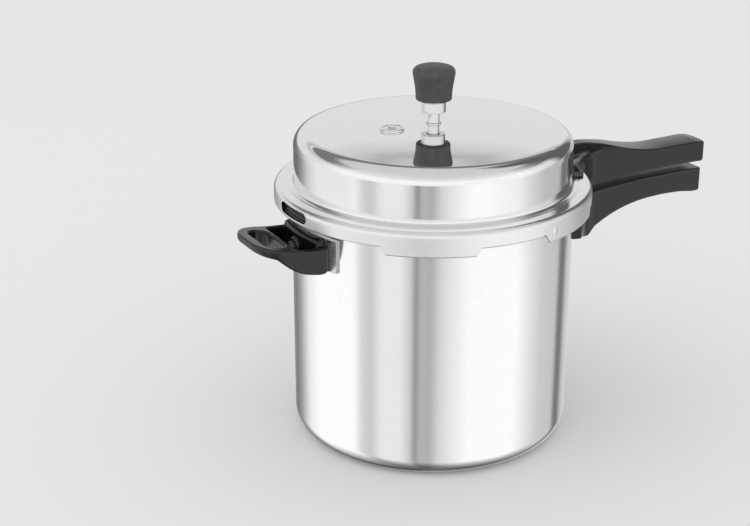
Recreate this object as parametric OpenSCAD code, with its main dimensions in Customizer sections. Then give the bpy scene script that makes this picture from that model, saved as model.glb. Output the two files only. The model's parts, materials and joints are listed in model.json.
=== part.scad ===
// Stovetop pressure cooker with an outer lid: an aluminium pot, a lid that
// locks with bayonet lugs, a dead weight on a vent tube and bakelite handles.
// Origin: centre of the pot's flat base. +X runs along the two long handles.

/* [Pot] */
// Outer radius of the pot wall
pot_r = 108; // [100:1:112]
// Thickness of the pot wall
pot_wall = 3; // [2.5:0.1:3.5]
// Thickness of the pot base
base_thick = 4.5; // [3.5:0.1:6]
// Outer radius of the bend between base and wall
base_bend_r = 15; // [10:1:20]
// Height of the flat top of the pot rim
rim_top_z = 188.4; // [188.4:0.1:188.5]
// Thickness of the rim flange and its lugs
rim_thick = 3.6; // [3.2:0.1:3.7]
// Radius of the rim flange between the lugs
rim_r = 112; // [111:0.1:112.2]
// Radius of the rim at the lugs
rim_lug_r = 117.5; // [116:0.1:118]
// Width of each pot lug in degrees
rim_lug_angle = 26; // [20:0.5:27]

/* [Lid] */
// Thickness of the lid sheet
lid_sheet = 2.7; // [2.5:0.1:2.8]
// Height of the middle of the lid
lid_top_z = 245; // [244:0.1:246]
// Radius of the crease round the top panel
crease_r = 95.2; // [94:0.1:96]
// Height of the crease round the top panel
crease_z = 240.6; // [240.4:0.1:240.8]
// Outer radius of the upright lid wall
lid_wall_r = 106.3; // [106:0.1:107]
// Radius of the bend between top panel and wall
shoulder_r = 11.3; // [11:0.1:11.3]
// Height of the top of the lid flange
flange_z = 201; // [200.8:0.1:201.2]
// Outer radius of the skirt
skirt_r = 121.6; // [121.4:0.1:122]
// Radius of the bend between flange and skirt
skirt_bend_r = 4.6; // [4:0.1:5]
// Height of the skirt's edge between the tabs
skirt_edge_z = 187.8; // [187:0.1:188]
// Height of the lower edge of the locking tabs
tab_edge_z = 182; // [181.8:0.1:182.2]
// Width of a tab, in degrees
tab_angle = 32.5; // [30:0.5:33]
// Inner radius of the lugs turned in under the tabs
lug_inner_r = 112.5; // [112.4:0.1:113]
// Turn of the whole ring of lugs away from the handle, in degrees
lug_phase = -1.5; // [-2:0.5:0]
// Middle of the gasket window, in degrees
window_angle = 181; // [179:0.5:182]
// Width of the gasket window, in degrees
window_width = 18.3; // [15:0.1:20]
// Direction of the stop dimple, in degrees
stop_angle = -76; // [-76.2:0.1:-75.8]

/* [Gasket] */
// Inner radius of the gasket's lips
gasket_inner_r = 108; // [108:0.1:110]
// Outer radius of the gasket
gasket_outer_r = 118.5; // [118:0.1:118.6]
// Thickness of the gasket's web and lips
gasket_thick = 2.4; // [2:0.1:3]

/* [Weight] */
// Radius of the vent tube
tube_r = 4.55; // [4.4:0.05:4.6]
// Height of the vent tube's tip
tube_tip_z = 268; // [266:0.5:270]
// Radius of the weight's steel body
weight_r = 9.3; // [9:0.1:9.6]
// Height of the lower face of the weight
weight_bottom_z = 254; // [252:0.5:256]
// Height of the lower face of the cap
cap_bottom_z = 263.4; // [262:0.1:264]
// Height of the widest part of the cap
cap_wide_z = 284.3; // [284:0.1:285]
// Height of the top of the cap
cap_top_z = 290; // [289:0.1:291]
// Radius of the cap at its lower face
cap_bottom_r = 13.7; // [13:0.1:14]
// Radius of the cap at its widest part
cap_wide_r = 16.1; // [15.5:0.1:16.5]

/* [Long handles] */
// Distance of the lid handle's tip from the axis
lid_handle_tip = 258; // [240:1:270]
// Distance of the pot handle's tip from the axis
pot_handle_tip = 256; // [240:1:268]
// Half width of the handles along the grip
grip_half = 13.4; // [12:0.1:14.5]
// Half width of the wings that hug the cooker at the root of each handle
root_half = 55; // [50:0.5:56]
// Distance of the pot handle's screw from the axis
pot_screw_x = 146; // [140:1:150]
// Distance of the lid handle's screw from the axis
lid_screw_x = 150; // [145:1:155]

/* [Helper handle] */
// Half width of the helper handle
helper_half = 31; // [30:0.5:31]
// Distance of its tip from the axis
helper_tip = 158; // [156:0.5:160]
// Height of its fixing screw
helper_screw_z = 167; // [166.5:0.5:168]

/* [Safety plug] */
// Distance of the safety plug from the axis
plug_r = 35.5; // [30:0.5:40]
// Direction of the safety plug, in degrees
plug_angle = 178.5; // [150:0.5:200]
// Radius of the plug's flange
plug_flange_r = 9.2; // [8:0.1:10]

/* [Hidden] */
$fn = 96;

bright = "gainsboro";
satin = "silver";
bakelite = [0.16, 0.15, 0.14];
steel = "lightgray";

gap = 0.3;                  // clearance between pieces that move past each other
fit = 0.2;                  // clearance of a moulded pocket round its metal part
cut = 1;                    // how far a cutter runs past the surface it cuts
lug_pitch = 60;
lug_places = [0, 1, 2, 4, 5];     // the sixth place is left to the window
rim_under_z = rim_top_z - rim_thick;
dome_r = (crease_r ^ 2 + (lid_top_z - crease_z) ^ 2) / (2 * (lid_top_z - crease_z));
dome_fn = 1440;             // the top panel is a small part of a very large sphere

lug_top_z = rim_under_z - gap;
window_z = [190.5, 198];
stop_width = 1.8;           // of the stop dimple, in degrees
stop_depth = 3;
stop_z = [184.9, 189];
flange_bend_r = 2.5;        // concave bend between the lid's wall and flange
rim_lip_r = 1.1;            // rounded lip on the pot rim

root_x = 85;                // where the blanks of the handles start, inside the cooker
plate_thick = 2;            // sheet of the handle brackets
tongue_half = 7;
pot_tongue_z = [157, 160];
lid_tongue_z = [188, 191];
pot_plate_z = [142, 166];
lid_plate_z = [189.5, 198.5];
pot_plate_angle = 24;
lid_plate_angle = 14;
helper_plate_angle = 40;
helper_plate_z = [155, 179.5];
pot_rivet_z = 150;
helper_rivet_z = 170;
lid_rivet_z = 194.2;
pot_rivet_angle = 8;
helper_rivet_angle = 12;
lid_rivet_angle = 4.5;
rivet_r = 2.5;
rivet_head_r = 4.5;
lid_rivet_r = 1.8;
lid_rivet_head_r = 3.4;
m5_r = 2.5;
m4_r = 2;

washer_thick = 1;
rivet_head_h = 1.6;
pot_head_z = 148;           // underside of each screw's head
lid_head_z = 181;
helper_head_x = 120.5;
helper_boss_r = 5;          // threaded boss on the helper handle's bracket
helper_boss_x = 6;
helper_root_x = 100;
helper_corner_r = 22;
helper_blank_z = [140, 200];      // heights of the blanks that the handles are cut from
pot_blank_z = [120, 180];
lid_blank_z = [165, 225];

lid_under_z = lid_top_z - lid_sheet;
seat_z = tube_tip_z + 0.1;
tube_bore_r = 1.6;
tube_thread = 7;            // length of the threaded ends inside the lid
plug_thread = 10;
plug_shank_r = 5;
core_r = 2.6;
stem_r = 8;                 // stem of the weight's steel body inside its cap
stem_h = 18;
needle_r = 1.3;
needle_h = 8;
groove_z = 2;               // groove for the spring clip, above the weight's lower face
groove_h = 1.6;
plug_tilt = asin(plug_r / dome_r);
plug_z = lid_top_z - dome_r * (1 - cos(plug_tilt));

// A point on a cubic curve given by four control points
function bezier(p, t) = (1 - t) ^ 3 * p[0] + 3 * t * (1 - t) ^ 2 * p[1]
                      + 3 * t ^ 2 * (1 - t) * p[2] + t ^ 3 * p[3];
function curve(p, n = 12) = [for (i = [0 : n]) bezier(p, i / n)];
// Outline points in reverse, mirrored across the line the outline is drawn beside
function mirrored(pts) = [for (i = [len(pts) - 1 : -1 : 0]) [pts[i].x, -pts[i].y]];
function mirrored_y(pts) = [for (i = [len(pts) - 1 : -1 : 0]) [-pts[i].x, pts[i].y]];

// Part of a ring with a rectangular section, centred on one direction
module ring_part(r0, r1, z0, z1, middle, width) {
    rotate([0, 0, middle - width / 2])
        rotate_extrude(angle = width)
            translate([r0, z0]) square([r1 - r0, z1 - z0]);
}

// Cylinder that points away from the axis
module radial_rod(r, x0, x1, z, direction = 0) {
    rotate([0, 0, direction]) translate([x0, 0, z]) rotate([0, 90, 0])
        cylinder(r = r, h = x1 - x0);
}

// Rectangle from the axis to r with its lower or upper outer corner rounded
module disc_profile(r, z0, z1, bend, low = true) {
    middle = low ? z0 + bend : z1 - bend;
    translate([0, z0]) square([r - bend, z1 - z0]);
    translate([0, low ? middle : z0]) square([r, z1 - z0 - bend]);
    translate([r - bend, middle]) circle(bend);
}

/* ---------- pot ---------- */

module pot_body() {
    inner_bend = base_bend_r - pot_wall;
    color(satin) {
        difference() {
            rotate_extrude() disc_profile(pot_r, 0, rim_top_z, base_bend_r);
            rotate_extrude()
                disc_profile(pot_r - pot_wall, base_thick, rim_top_z + cut, inner_bend);
            rivet_holes(pot_r, pot_rivet_z, pot_rivet_angle, rivet_r);
            rivet_holes(pot_r, helper_rivet_z, helper_rivet_angle, rivet_r, 180);
        }
        rotate_extrude() translate([pot_r - pot_wall, rim_under_z])
            square([rim_r - pot_r + pot_wall, rim_thick]);
        // rounded lip that centres the gasket
        rotate_extrude() translate([pot_r - pot_wall + rim_lip_r, rim_top_z]) circle(rim_lip_r);
        for (i = lug_places)
            ring_part(rim_r - cut, rim_lug_r, rim_under_z, rim_top_z,
                      lug_phase + i * lug_pitch, rim_lug_angle);
    }
}

// Sheet-metal plate that hugs a round wall
module wall_plate(r, z, angle, middle = 0) {
    ring_part(r, r + plate_thick, z[0], z[1], middle, angle);
}

module tongue(r, x1, z) {
    difference() {
        translate([r - 2, -tongue_half, z[0]])
            cube([x1 - r + 2, 2 * tongue_half, z[1] - z[0]]);
        translate([0, 0, z[0] - cut]) cylinder(r = r, h = z[1] - z[0] + 2 * cut);
    }
}

module pot_handle_bracket() {
    color(steel) difference() {
        union() {
            wall_plate(pot_r, pot_plate_z, pot_plate_angle);
            tongue(pot_r + plate_thick - 0.5, pot_screw_x + 8, pot_tongue_z);
        }
        rivet_holes(pot_r, pot_rivet_z, pot_rivet_angle, rivet_r);
        translate([pot_screw_x, 0, pot_tongue_z[0] - cut]) cylinder(r = m5_r, h = 3 + 2 * cut);
    }
}

// Rivet through a wall between two radii, with a low round head on each face
module wall_rivet(r_in, r_out, z, direction, shank, head, inside = true) {
    radial_rod(shank, r_in - (inside ? 1 : 0), r_out + 1, z, direction);
    difference() {
        radial_rod(head, r_out - 1, r_out + rivet_head_h, z, direction);
        translate([0, 0, z - 2 * head]) cylinder(r = r_out, h = 4 * head);
    }
    if (inside) intersection() {
        radial_rod(head, r_in - rivet_head_h, r_in + 1, z, direction);
        translate([0, 0, z - 2 * head]) cylinder(r = r_in, h = 4 * head);
    }
}

module rivet_holes(r, z, angle, shank, middle = 0) {
    for (s = [-1, 1])
        radial_rod(shank, r - 5, r + 5, z, middle + s * angle);
}

module pot_handle_rivets() {
    color(steel) for (s = [-1, 1])
        wall_rivet(pot_r - pot_wall, pot_r + plate_thick, pot_rivet_z,
                   s * pot_rivet_angle, rivet_r, rivet_head_r);
}

// Plan of a long handle: wings that hug the cooker, waist and rounded tip
module long_handle_plan(tip) {
    corner = 4;
    side = concat(
        [[93, root_half - 5]],
        curve([[103, root_half], [113, 37], [122, grip_half + 2], [148, grip_half]], 14),
        curve([[200, grip_half - 0.4], [225, grip_half], [238, grip_half + 1],
               [tip - corner, grip_half + 1]], 6),
        [for (a = [75 : -15 : 15])
            [tip - corner + corner * cos(a), grip_half + 1 - corner + corner * sin(a)]],
        [[tip, grip_half + 1 - corner]]);
    polygon(concat(side, mirrored(side)));
}

// Slab along the handle whose end view is the child outline
module end_view_slab() {
    translate([80, 0, 0]) rotate([90, 0, 90]) linear_extrude(200) children();
}

// Slab whose side view is the child outline, as wide as the handle at most
module side_view_slab() {
    translate([0, 60, 0]) rotate([90, 0, 0]) linear_extrude(120) children();
}

module pot_handle_side() {
    top = concat([[root_x, 170]], curve([[128, 170], [160, 170.5], [185, 175.5], [pot_handle_tip, 173.8]]));
    bottom = concat([[pot_handle_tip - 2, 154], [pot_handle_tip - 8, 153.8]],
                    curve([[235, 155.6], [190, 158], [165, 152], [138, 133.6]]),
                    [[root_x, 133.6]]);
    polygon(concat(top, bottom));
}

// End view of the lower handle: its wings are shallower than its middle
module pot_handle_end() {
    low = curve([[12, 130], [22, 138], [34, 149.5], [root_half + 1, 150.5]], 8);
    polygon(concat([[-12, 130]], low, [[root_half + 1, 168], [16, 180], [-16, 180],
            [-root_half - 1, 168]], mirrored_y(low)));
}

// Pocket in a long handle for its bracket, with the rivets' heads, and the bracket's tongue
module bracket_pocket(r, plate_z, plate_angle, tongue_z, tongue_x) {
    ring_part(r - cut, r + plate_thick + rivet_head_h + gap, min(plate_z[0], tongue_z[0]) - 0.5,
              plate_z[1] + 0.5, 0, plate_angle + 1);
    translate([r, -tongue_half - fit, tongue_z[0] - fit])
        cube([tongue_x + 0.5 - r, 2 * (tongue_half + fit), tongue_z[1] - tongue_z[0] + 2 * fit]);
}

module pot_handle() {
    color(bakelite) difference() {
        intersection() {
            side_view_slab() pot_handle_side();
            end_view_slab() pot_handle_end();
            translate([0, 0, pot_blank_z[0]])
                linear_extrude(pot_blank_z[1] - pot_blank_z[0]) long_handle_plan(pot_handle_tip);
        }
        translate([0, 0, pot_blank_z[0]])
            cylinder(r = pot_r + fit, h = pot_blank_z[1] - pot_blank_z[0]);
        bracket_pocket(pot_r, pot_plate_z, pot_plate_angle, pot_tongue_z, pot_screw_x + 8);
        translate([pot_screw_x, 0, pot_blank_z[0]]) cylinder(r = m5_r + fit, h = 45);
        translate([pot_screw_x, 0, pot_blank_z[0]])
            cylinder(r = 5.5, h = pot_head_z + washer_thick - pot_blank_z[0]);
    }
}

// Pan-head screw with a cross recess, standing on its head, under-head at z
module screw(shank, head, head_h, length) {
    difference() {
        union() {
            translate([0, 0, -head_h]) cylinder(r1 = head * 0.8, r2 = head, h = head_h);
            cylinder(r = shank, h = length);
        }
        for (a = [0, 90]) rotate([0, 0, a])
            translate([-head * 0.55, -0.5, -head_h - cut])
                cube([head * 1.1, 1, head_h / 2 + cut]);
    }
}

module washer(inner, outer, thick) {
    difference() {
        cylinder(r = outer, h = thick);
        translate([0, 0, -cut]) cylinder(r = inner, h = thick + 2 * cut);
    }
}

module pot_handle_washer() {
    color(steel) translate([pot_screw_x, 0, pot_head_z]) washer(m5_r + fit, 5, washer_thick);
}

module pot_handle_screw() {
    color(steel) translate([pot_screw_x, 0, pot_head_z]) screw(m5_r, 4.6, 2.8, 12.5);
}

/* ---------- helper handle, opposite the long ones ---------- */

module helper_bracket() {
    color(steel) difference() {
        union() {
            wall_plate(pot_r, helper_plate_z, helper_plate_angle, 180);
            radial_rod(helper_boss_r, pot_r + 1, pot_r + helper_boss_x, helper_screw_z, 180);
        }
        radial_rod(m5_r, pot_r - cut, pot_r + 7, helper_screw_z, 180);
        rivet_holes(pot_r, helper_rivet_z, helper_rivet_angle, rivet_r, 180);
        translate([0, 0, helper_plate_z[0] - 5]) cylinder(r = pot_r, h = 35);
    }
}

module helper_rivets() {
    color(steel) for (s = [-1, 1])
        wall_rivet(pot_r - pot_wall, pot_r + plate_thick, helper_rivet_z,
                   180 + s * helper_rivet_angle, rivet_r, rivet_head_r);
}

module helper_side() {
    top = curve([[helper_root_x, 173.5], [130, 173.5], [145, 178], [helper_tip + 1, 180]]);
    bottom = concat([[helper_tip + 1, 174.6], [helper_tip - 6, 171.2]],
                    curve([[144.5, 169.7], [138, 164], [131, 155], [108, 153]]),
                    [[helper_root_x, 153]]);
    polygon(concat(top, bottom));
}

// Upright slot across the helper handle, with round ends
module cross_slot(x, half_length, half_width, z0) {
    hull() for (s = [-1, 1])
        translate([x, s * (half_length - half_width), z0])
            cylinder(r = half_width, h = helper_blank_z[1] - z0, $fn = 32);
}

module helper_handle() {
    plan_x = helper_tip - helper_corner_r;
    corner_y = helper_half - helper_corner_r;
    back_angle = 26;
    color(bakelite) rotate([0, 0, 180]) difference() {
        union() {
            intersection() {
                side_view_slab() helper_side();
                translate([0, 0, helper_blank_z[0]])
                    linear_extrude(helper_blank_z[1] - helper_blank_z[0]) union() {
                        translate([helper_root_x, -helper_half])
                            square([plan_x - helper_root_x, 2 * helper_half]);
                        translate([plan_x, -corner_y]) square([helper_corner_r, 2 * corner_y]);
                        for (s = [-1, 1]) translate([plan_x, s * corner_y]) circle(helper_corner_r);
                    }
            }
            // raised back that covers the bracket
            ring_part(pot_r + 1, pot_r + plate_thick + 6, 160, helper_plate_z[1], 0, back_angle);
        }
        translate([0, 0, helper_blank_z[0]])
            cylinder(r = pot_r + plate_thick + 0.1, h = helper_blank_z[1] - helper_blank_z[0]);
        // finger hole
        cross_slot(helper_tip - 17, 20, 8, helper_blank_z[0]);
        // recess for the screw, open at the top
        cross_slot(helper_head_x + 2.7, 22, 3.7, helper_screw_z - 5.2);
        // bores for the bracket's boss, the screw and its head
        radial_rod(helper_boss_r + gap, helper_root_x, pot_r + helper_boss_x + gap, helper_screw_z);
        radial_rod(m5_r + fit, helper_root_x, helper_head_x, helper_screw_z);
        radial_rod(5.6, helper_head_x - washer_thick, helper_head_x + 6, helper_screw_z);
        for (s = [-1, 1])
            radial_rod(rivet_head_r + 0.5, pot_r - cut, pot_r + plate_thick + rivet_head_h + gap,
                       helper_rivet_z, s * helper_rivet_angle);
    }
}

module helper_handle_washer() {
    color(steel) translate([-helper_head_x + washer_thick, 0, helper_screw_z]) rotate([0, -90, 0])
        washer(m5_r + fit, 5.2, washer_thick);
}

module helper_handle_screw() {
    color(steel) translate([-helper_head_x, 0, helper_screw_z]) rotate([0, 90, 0])
        screw(m5_r, 4.6, 2.8, 11.5);
}

/* ---------- lid ---------- */

// Half section of the lid's outside, or of its inside when t is the sheet
module lid_profile(t) {
    intersection() {
        translate([0, lid_top_z - dome_r]) circle(dome_r - t, $fn = dome_fn);
        translate([0, flange_z]) square([crease_r, lid_top_z]);
    }
    translate([lid_wall_r - shoulder_r, crease_z - shoulder_r]) circle(shoulder_r - t);
    translate([0, flange_z - 10]) square([lid_wall_r - t, crease_z - shoulder_r - flange_z + 10]);
    disc_profile(skirt_r - t, tab_edge_z - (t > 0 ? cut : 0), flange_z - t, skirt_bend_r - t / 2,
                 low = false);
    // small concave bend where the wall meets the flange
    if (t == 0) difference() {
        translate([lid_wall_r, flange_z]) square(flange_bend_r);
        translate([lid_wall_r + flange_bend_r, flange_z + flange_bend_r]) circle(flange_bend_r);
    }
}

// Cut through the lower edge of the skirt, between two tabs
module skirt_cut(direction, width) {
    ring_part(skirt_r - 10, skirt_r + cut, tab_edge_z - cut, skirt_edge_z, direction, width);
}

// Lug turned in under one tab
module lid_lug() {
    ring_part(lug_inner_r, skirt_r - 1, tab_edge_z, lug_top_z, 0, tab_angle - 3);
}

module gasket_window() {
    half_h = (window_z[1] - window_z[0]) / 2;
    mid_z = window_z[0] + half_h;
    end_angle = window_width - 2 * atan(half_h / skirt_r);
    ring_part(skirt_r - 5, skirt_r + cut, window_z[0], window_z[1], window_angle, end_angle);
    for (s = [-1, 1])
        radial_rod(half_h, skirt_r - 5, skirt_r + cut, mid_z, window_angle + s * end_angle / 2);
}

module lid_shell() {
    color(bright) {
        difference() {
            rotate_extrude() lid_profile(0);
            rotate_extrude() lid_profile(lid_sheet);
            for (i = [-1.5, -0.5, 0.5, 1.5])
                skirt_cut(lug_phase + i * lug_pitch, lug_pitch - tab_angle);
            skirt_cut(lug_phase + 3 * lug_pitch, 2 * lug_pitch - tab_angle);
            translate([0, 0, lid_under_z - 5]) cylinder(r = tube_r + 0.05, h = 12);
            at_plug() translate([0, 0, -8]) cylinder(r = plug_shank_r + 0.05, h = 16);
            gasket_window();
            rivet_holes(skirt_r - 1, lid_rivet_z, lid_rivet_angle, lid_rivet_r);
        }
        for (i = lug_places) rotate([0, 0, lug_phase + i * lug_pitch]) lid_lug();
        // stop pressed inwards, which meets the pot's lugs at both ends of the turn
        ring_part(skirt_r - lid_sheet - stop_depth, skirt_r - 1, stop_z[0], stop_z[1],
                  stop_angle, stop_width);
    }
}

module lid_handle_bracket() {
    color(steel) difference() {
        union() {
            wall_plate(skirt_r, lid_plate_z, lid_plate_angle);
            tongue(skirt_r + plate_thick - 0.5, lid_screw_x + 7, lid_tongue_z);
            ring_part(skirt_r, skirt_r + plate_thick, lid_tongue_z[0], lid_plate_z[0] + cut, 0, 6.4);
        }
        rivet_holes(skirt_r, lid_rivet_z, lid_rivet_angle, lid_rivet_r);
        translate([lid_screw_x, 0, lid_tongue_z[0] - cut]) cylinder(r = m4_r, h = 3 + 2 * cut);
    }
}

module lid_handle_rivets() {
    color(steel) for (s = [-1, 1])
        wall_rivet(skirt_r - lid_sheet + 0.1, skirt_r + plate_thick, lid_rivet_z,
                   s * lid_rivet_angle, lid_rivet_r, lid_rivet_head_r, inside = false);
}

module lid_handle_side() {
    top = concat([[root_x, 211]], curve([[128, 211], [160, 211], [180, 197.5], [215, 197.3]]),
                 [[lid_handle_tip - 8, 197.6], [lid_handle_tip, 196]]);
    bottom = concat([[lid_handle_tip, 180.2]],
                    curve([[lid_handle_tip - 3, 179.7], [190, 181], [160, 176.5], [122, 174.3]]),
                    [[root_x, 174.3]]);
    polygon(concat(top, bottom));
}

// End view of the upper handle: the spine falls away to low wings on the flange
module lid_handle_end() {
    high = curve([[root_half + 1, 203], [36, 204], [22, 206], [9, 212]], 8);
    polygon(concat([[-root_half - 1, 165], [root_half + 1, 165]], high, mirrored_y(high)));
}

module lid_handle_seat(r, z1) {
    translate([0, 0, lid_blank_z[0]]) cylinder(r = r, h = z1 - lid_blank_z[0]);
}

module lid_handle() {
    color(bakelite) difference() {
        intersection() {
            side_view_slab() lid_handle_side();
            end_view_slab() lid_handle_end();
            translate([0, 0, lid_blank_z[0]])
                linear_extrude(lid_blank_z[1] - lid_blank_z[0]) long_handle_plan(lid_handle_tip);
        }
        // seat against the lid's wall, its concave bend and its flange
        lid_handle_seat(lid_wall_r + fit, lid_blank_z[1]);
        lid_handle_seat(lid_wall_r + flange_bend_r + fit, flange_z + flange_bend_r + 0.5);
        lid_handle_seat(skirt_r + fit, flange_z + fit);
        bracket_pocket(skirt_r, lid_plate_z, lid_plate_angle, lid_tongue_z, lid_screw_x + 7);
        translate([lid_screw_x, 0, lid_blank_z[0]]) cylinder(r = m4_r + fit, h = 28);
        translate([lid_screw_x, 0, lid_blank_z[0]])
            cylinder(r = 5, h = lid_head_z + washer_thick - lid_blank_z[0]);
    }
}

module lid_handle_washer() {
    color(steel) translate([lid_screw_x, 0, lid_head_z]) washer(m4_r + fit, 4.5, washer_thick);
}

module lid_handle_screw() {
    color(steel) translate([lid_screw_x, 0, lid_head_z]) screw(m4_r, 4, 2.4, 11);
}

/* ---------- vent tube and safety plug ---------- */

module vent_tube() {
    tip_cone = 2;
    color(steel) difference() {
        union() {
            translate([0, 0, lid_under_z - tube_thread])
                cylinder(r = tube_r, h = tube_tip_z - tip_cone - lid_under_z + tube_thread);
            translate([0, 0, lid_top_z]) cylinder(r = 5.8, h = 0.9);
            translate([0, 0, tube_tip_z - tip_cone]) cylinder(r1 = tube_r, r2 = 2.9, h = tip_cone);
        }
        translate([0, 0, lid_under_z - tube_thread - cut]) cylinder(r = tube_bore_r, h = 50);
    }
}

module vent_tube_washer() {
    color(steel) translate([0, 0, lid_under_z - 1.1]) washer(tube_r + 0.1, 8.5, 1);
}

module hex_nut(across, height, bore) {
    difference() {
        cylinder(r = across / 2 / cos(30), h = height, $fn = 6);
        translate([0, 0, -cut]) cylinder(r = bore, h = height + 2 * cut);
    }
}

module vent_tube_nut() {
    color(steel) translate([0, 0, lid_under_z - 5.6]) hex_nut(14, 4.5, tube_r);
}

// Places its children on the lid's surface at the safety plug
module at_plug() {
    rotate([0, 0, plug_angle]) translate([plug_r, 0, plug_z])
        rotate([0, plug_tilt, 0]) children();
}

module safety_plug_body() {
    rim = 1.2;
    color("lightgray") at_plug() difference() {
        union() {
            cylinder(r = plug_flange_r, h = 1.6);
            translate([0, 0, -plug_thread]) cylinder(r = plug_shank_r, h = plug_thread + 0.5);
        }
        translate([0, 0, 1]) cylinder(r = plug_flange_r - rim, h = cut);
        translate([0, 0, -plug_thread - cut]) cylinder(r = core_r, h = plug_thread + 3 * cut);
    }
}

module safety_plug_core() {
    color("darkgray") at_plug() {
        translate([0, 0, -plug_thread]) cylinder(r = core_r, h = plug_thread + 1);
        translate([0, 0, 1]) cylinder(r = 3.4, h = 0.5);
    }
}

module safety_plug_washer() {
    color("dimgray") at_plug() translate([0, 0, -lid_sheet - 1.6])
        washer(plug_shank_r + 0.05, 8, 1.5);
}

module safety_plug_nut() {
    color("lightgray") at_plug() translate([0, 0, -lid_sheet - 5.6]) hex_nut(14, 4, plug_shank_r);
}

/* ---------- gasket ---------- */

module gasket() {
    bottom = rim_top_z + gap;
    top = flange_z - lid_sheet - 0.2;
    bend = 3;
    color([0.2, 0.2, 0.21]) rotate_extrude() difference() {
        translate([gasket_inner_r, bottom])
            square([gasket_outer_r - gasket_inner_r, top - bottom]);
        translate([gasket_inner_r - cut, bottom + gasket_thick])
            square([gasket_outer_r - gasket_inner_r - gasket_thick + cut,
                    top - bottom - 2 * gasket_thick]);
        // rounded outer corner that follows the lid's bend
        difference() {
            translate([gasket_outer_r - bend, top - bend]) square(bend + cut);
            translate([gasket_outer_r - bend, top - bend]) circle(bend);
        }
    }
}

/* ---------- weight ---------- */

module weight_body() {
    bore_r = tube_r + 0.45;
    color(steel) difference() {
        union() {
            translate([0, 0, weight_bottom_z]) cylinder(r = weight_r, h = cap_bottom_z - weight_bottom_z);
            translate([0, 0, cap_bottom_z]) cylinder(r = stem_r, h = stem_h);
        }
        translate([0, 0, weight_bottom_z - cut]) cylinder(r = bore_r, h = seat_z - weight_bottom_z + cut);
        translate([0, 0, seat_z - cut]) cylinder(r = needle_r, h = needle_h + cut);
        // groove for the spring clip
        translate([0, 0, weight_bottom_z + groove_z]) cylinder(r = 6.4, h = groove_h);
    }
}

module weight_needle() {
    color(steel) {
        translate([0, 0, seat_z - 2.5]) cylinder(r1 = 0.6, r2 = 1.1, h = 2.5);
        translate([0, 0, seat_z]) cylinder(r = needle_r, h = needle_h);
    }
}

module weight_clip() {
    wire_r = 0.65;
    color("gray") translate([0, 0, weight_bottom_z + groove_z + groove_h / 2])
        rotate([0, 0, 20]) rotate_extrude(angle = 320) translate([5.6, 0]) circle(wire_r);
}

module cap_section() {
    corner = 4;
    side = curve([[cap_bottom_r, cap_bottom_z + 1.5], [cap_bottom_r + 0.2, cap_bottom_z + 10],
                  [cap_wide_r - 1, cap_wide_z - 7], [cap_wide_r, cap_wide_z]], 10);
    crown = curve([[cap_wide_r - 0.2, cap_wide_z + 1], [cap_wide_r - 1, cap_wide_z + corner],
                   [cap_wide_r - 3.4, cap_top_z - 0.9], [9, cap_top_z - 0.4]], 8);
    polygon(concat([[0, cap_bottom_z], [cap_bottom_r - 1.5, cap_bottom_z],
                    [cap_bottom_r - 0.5, cap_bottom_z + 0.4]],
                   side, crown, [[0, cap_top_z]]));
}

module weight_cap() {
    color(bakelite) difference() {
        rotate_extrude() cap_section();
        translate([0, 0, cap_bottom_z - cut]) cylinder(r = stem_r + 0.05, h = stem_h + 0.1 + cut);
    }
}

pot_body();
pot_handle_bracket();
pot_handle_rivets();
pot_handle();
pot_handle_screw();
pot_handle_washer();
helper_bracket();
helper_rivets();
helper_handle();
helper_handle_screw();
helper_handle_washer();
lid_shell();
lid_handle_bracket();
lid_handle_rivets();
lid_handle();
lid_handle_screw();
lid_handle_washer();
vent_tube();
vent_tube_washer();
vent_tube_nut();
safety_plug_body();
safety_plug_core();
safety_plug_washer();
safety_plug_nut();
gasket();
weight_body();
weight_cap();
weight_needle();
weight_clip();
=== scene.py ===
"""Stovetop pressure cooker: detailed pieces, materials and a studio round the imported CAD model.

Lengths are millimetres, and every mesh maker scales them to metres. X runs along the long handles,
Z is up, and the origin is the centre of the pot's base.
"""
import json
import math

import bmesh
import bpy
import numpy as np
from mathutils import Matrix, Vector

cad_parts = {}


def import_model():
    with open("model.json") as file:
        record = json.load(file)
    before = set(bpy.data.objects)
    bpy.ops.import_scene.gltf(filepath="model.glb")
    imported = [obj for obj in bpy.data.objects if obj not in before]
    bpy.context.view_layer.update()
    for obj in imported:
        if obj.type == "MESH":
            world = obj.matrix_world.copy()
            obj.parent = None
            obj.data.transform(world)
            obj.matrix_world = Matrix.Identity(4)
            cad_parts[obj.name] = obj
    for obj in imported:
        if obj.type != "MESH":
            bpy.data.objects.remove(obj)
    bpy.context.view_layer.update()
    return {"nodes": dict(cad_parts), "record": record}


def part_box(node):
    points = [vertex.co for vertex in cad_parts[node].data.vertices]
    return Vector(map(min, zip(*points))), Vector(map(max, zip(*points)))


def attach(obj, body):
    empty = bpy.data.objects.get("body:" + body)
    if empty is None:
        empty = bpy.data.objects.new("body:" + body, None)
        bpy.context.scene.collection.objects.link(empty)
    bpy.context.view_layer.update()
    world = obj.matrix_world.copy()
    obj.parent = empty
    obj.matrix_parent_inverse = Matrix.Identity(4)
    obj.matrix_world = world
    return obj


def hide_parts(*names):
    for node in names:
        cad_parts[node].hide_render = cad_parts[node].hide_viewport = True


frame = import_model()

scene = bpy.context.scene
MM = 0.001


def cad(node):
    """Lowest and highest corners of a CAD node in millimetres."""
    return [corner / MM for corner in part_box(node)]


# ---------- driving dimensions ----------

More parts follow.
